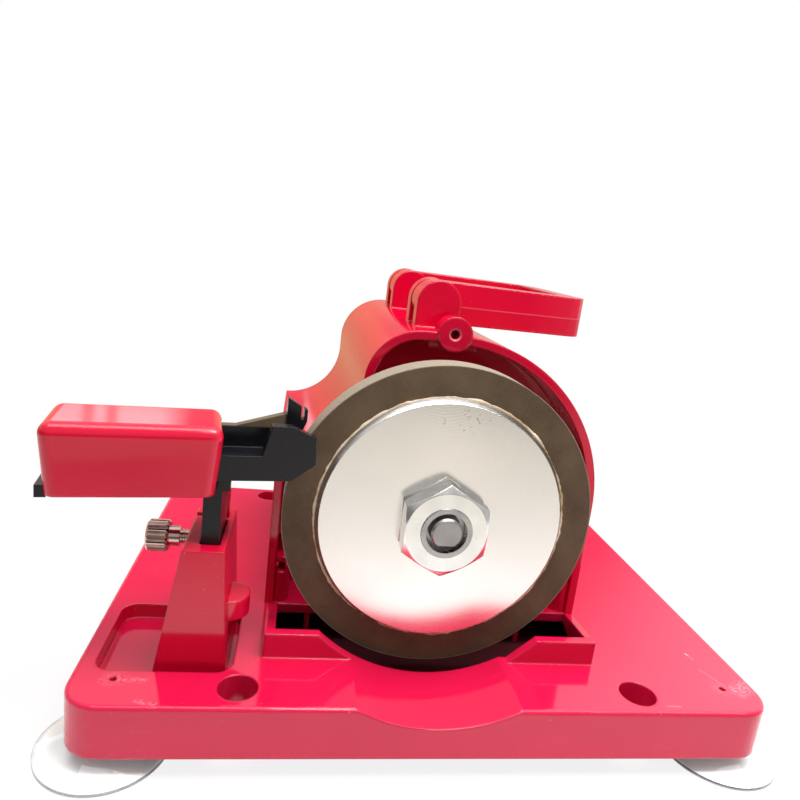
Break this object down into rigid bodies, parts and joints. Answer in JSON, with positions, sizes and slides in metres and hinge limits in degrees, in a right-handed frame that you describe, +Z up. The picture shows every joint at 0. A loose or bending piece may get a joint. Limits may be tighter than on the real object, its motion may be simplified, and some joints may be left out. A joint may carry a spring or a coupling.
{
  "type": "electric scissor sharpener",
  "caption": "Desktop electric sharpener: flat abrasive wheel on a motor in a moulded cowl, height-adjustable blade rest with a sliding box, fold-down handle and suction-cup base.",
  "frame": {"origin": "centre of the base in plan, at the level of the table under the suction cups", "axes": "+X to the operator's right across the wheel's face, +Y away from the operator along the motor shaft, +Z up"},
  "size_m": [0.2326, 0.179, 0.1419],
  "materials": {
    "red_plastic": "glossy moulded plastic",
    "black_plastic": "glossy moulded plastic",
    "dark_plastic": "plain moulded plastic",
    "pale_plastic": "plain moulded plastic",
    "clear_vinyl": "clear soft vinyl",
    "zinc_steel": "zinc plated",
    "bearing_steel": "ground steel",
    "arbor_steel": "turned steel",
    "rotor_iron": "laminated iron with windings",
    "ferrite": "sintered",
    "carbon": "pressed carbon",
    "copper": "turned copper",
    "turned_aluminium": "face turned",
    "resin_abrasive": "resin-bonded fine grit",
    "nickel_brass": "nickel plated, knurled"
  },
  "bodies": {
    "machine": {"base_tray": "red_plastic", "bottom_cover": "dark_plastic", "bottom_cover_screws": "zinc_steel", "suction_cups": "clear_vinyl", "motor_housing": "red_plastic", "housing_screws": "zinc_steel", "rear_cover": "red_plastic", "rear_cover_screws": "zinc_steel", "motor_can": "zinc_steel", "motor_magnets": "ferrite", "motor_end_cap": "pale_plastic", "motor_screws": "zinc_steel", "carbon_brushes": "carbon", "front_bearing": "bearing_steel", "rear_bearing": "bearing_steel", "handle_pins": "zinc_steel", "tool_post": "red_plastic", "post_screws": "zinc_steel", "switch_body": "black_plastic", "power_inlet": "black_plastic"},
    "wheel": {"motor_shaft": "bearing_steel", "rotor_core": "rotor_iron", "commutator": "copper", "cooling_fan": "dark_plastic", "wheel_arbor": "arbor_steel", "arbor_set_screw": "arbor_steel", "wheel_disc": "turned_aluminium", "abrasive_ring": "resin_abrasive", "wheel_nut": "zinc_steel"},
    "carry_handle": {"handle": "red_plastic"},
    "blade_arm": {"tool_arm": "black_plastic"},
    "blade_box": {"slide_box": "red_plastic"},
    "arm_clamp": {"thumb_screw": "nickel_brass"},
    "rocker": {"switch_rocker": "black_plastic"}
  },
  "joints": [
    {"name": "wheel_spin", "type": "hinge", "parent": "machine", "child": "wheel", "pos_m": [-0.002, 0, 0.06675], "axis": [0, 1, 0], "continuous": true},
    {"name": "handle_fold", "type": "hinge", "parent": "machine", "child": "carry_handle", "pos_m": [-0.0043, -0.017, 0.1325], "axis": [0.0349, -0.9991, -0.0227], "range_deg": [0, 90]},
    {"name": "arm_height", "type": "slide", "parent": "machine", "child": "blade_arm", "axis": [0, 0, 1], "range_m": [-0.002, 0.01]},
    {"name": "box_slide", "type": "slide", "parent": "blade_arm", "child": "blade_box", "axis": [0.9877, 0.1564, 0], "range_m": [-0.012, 0.004]},
    {"name": "clamp_turn", "type": "hinge", "parent": "machine", "child": "arm_clamp", "pos_m": [-0.08, -0.0471, 0.055], "axis": [1, 0, 0], "range_deg": [-720, 0]},
    {"name": "switch_rock", "type": "hinge", "parent": "machine", "child": "rocker", "pos_m": [-0.028, 0.0702, 0.034], "axis": [0, 0, 1], "range_deg": [0, 16]}
  ]
}
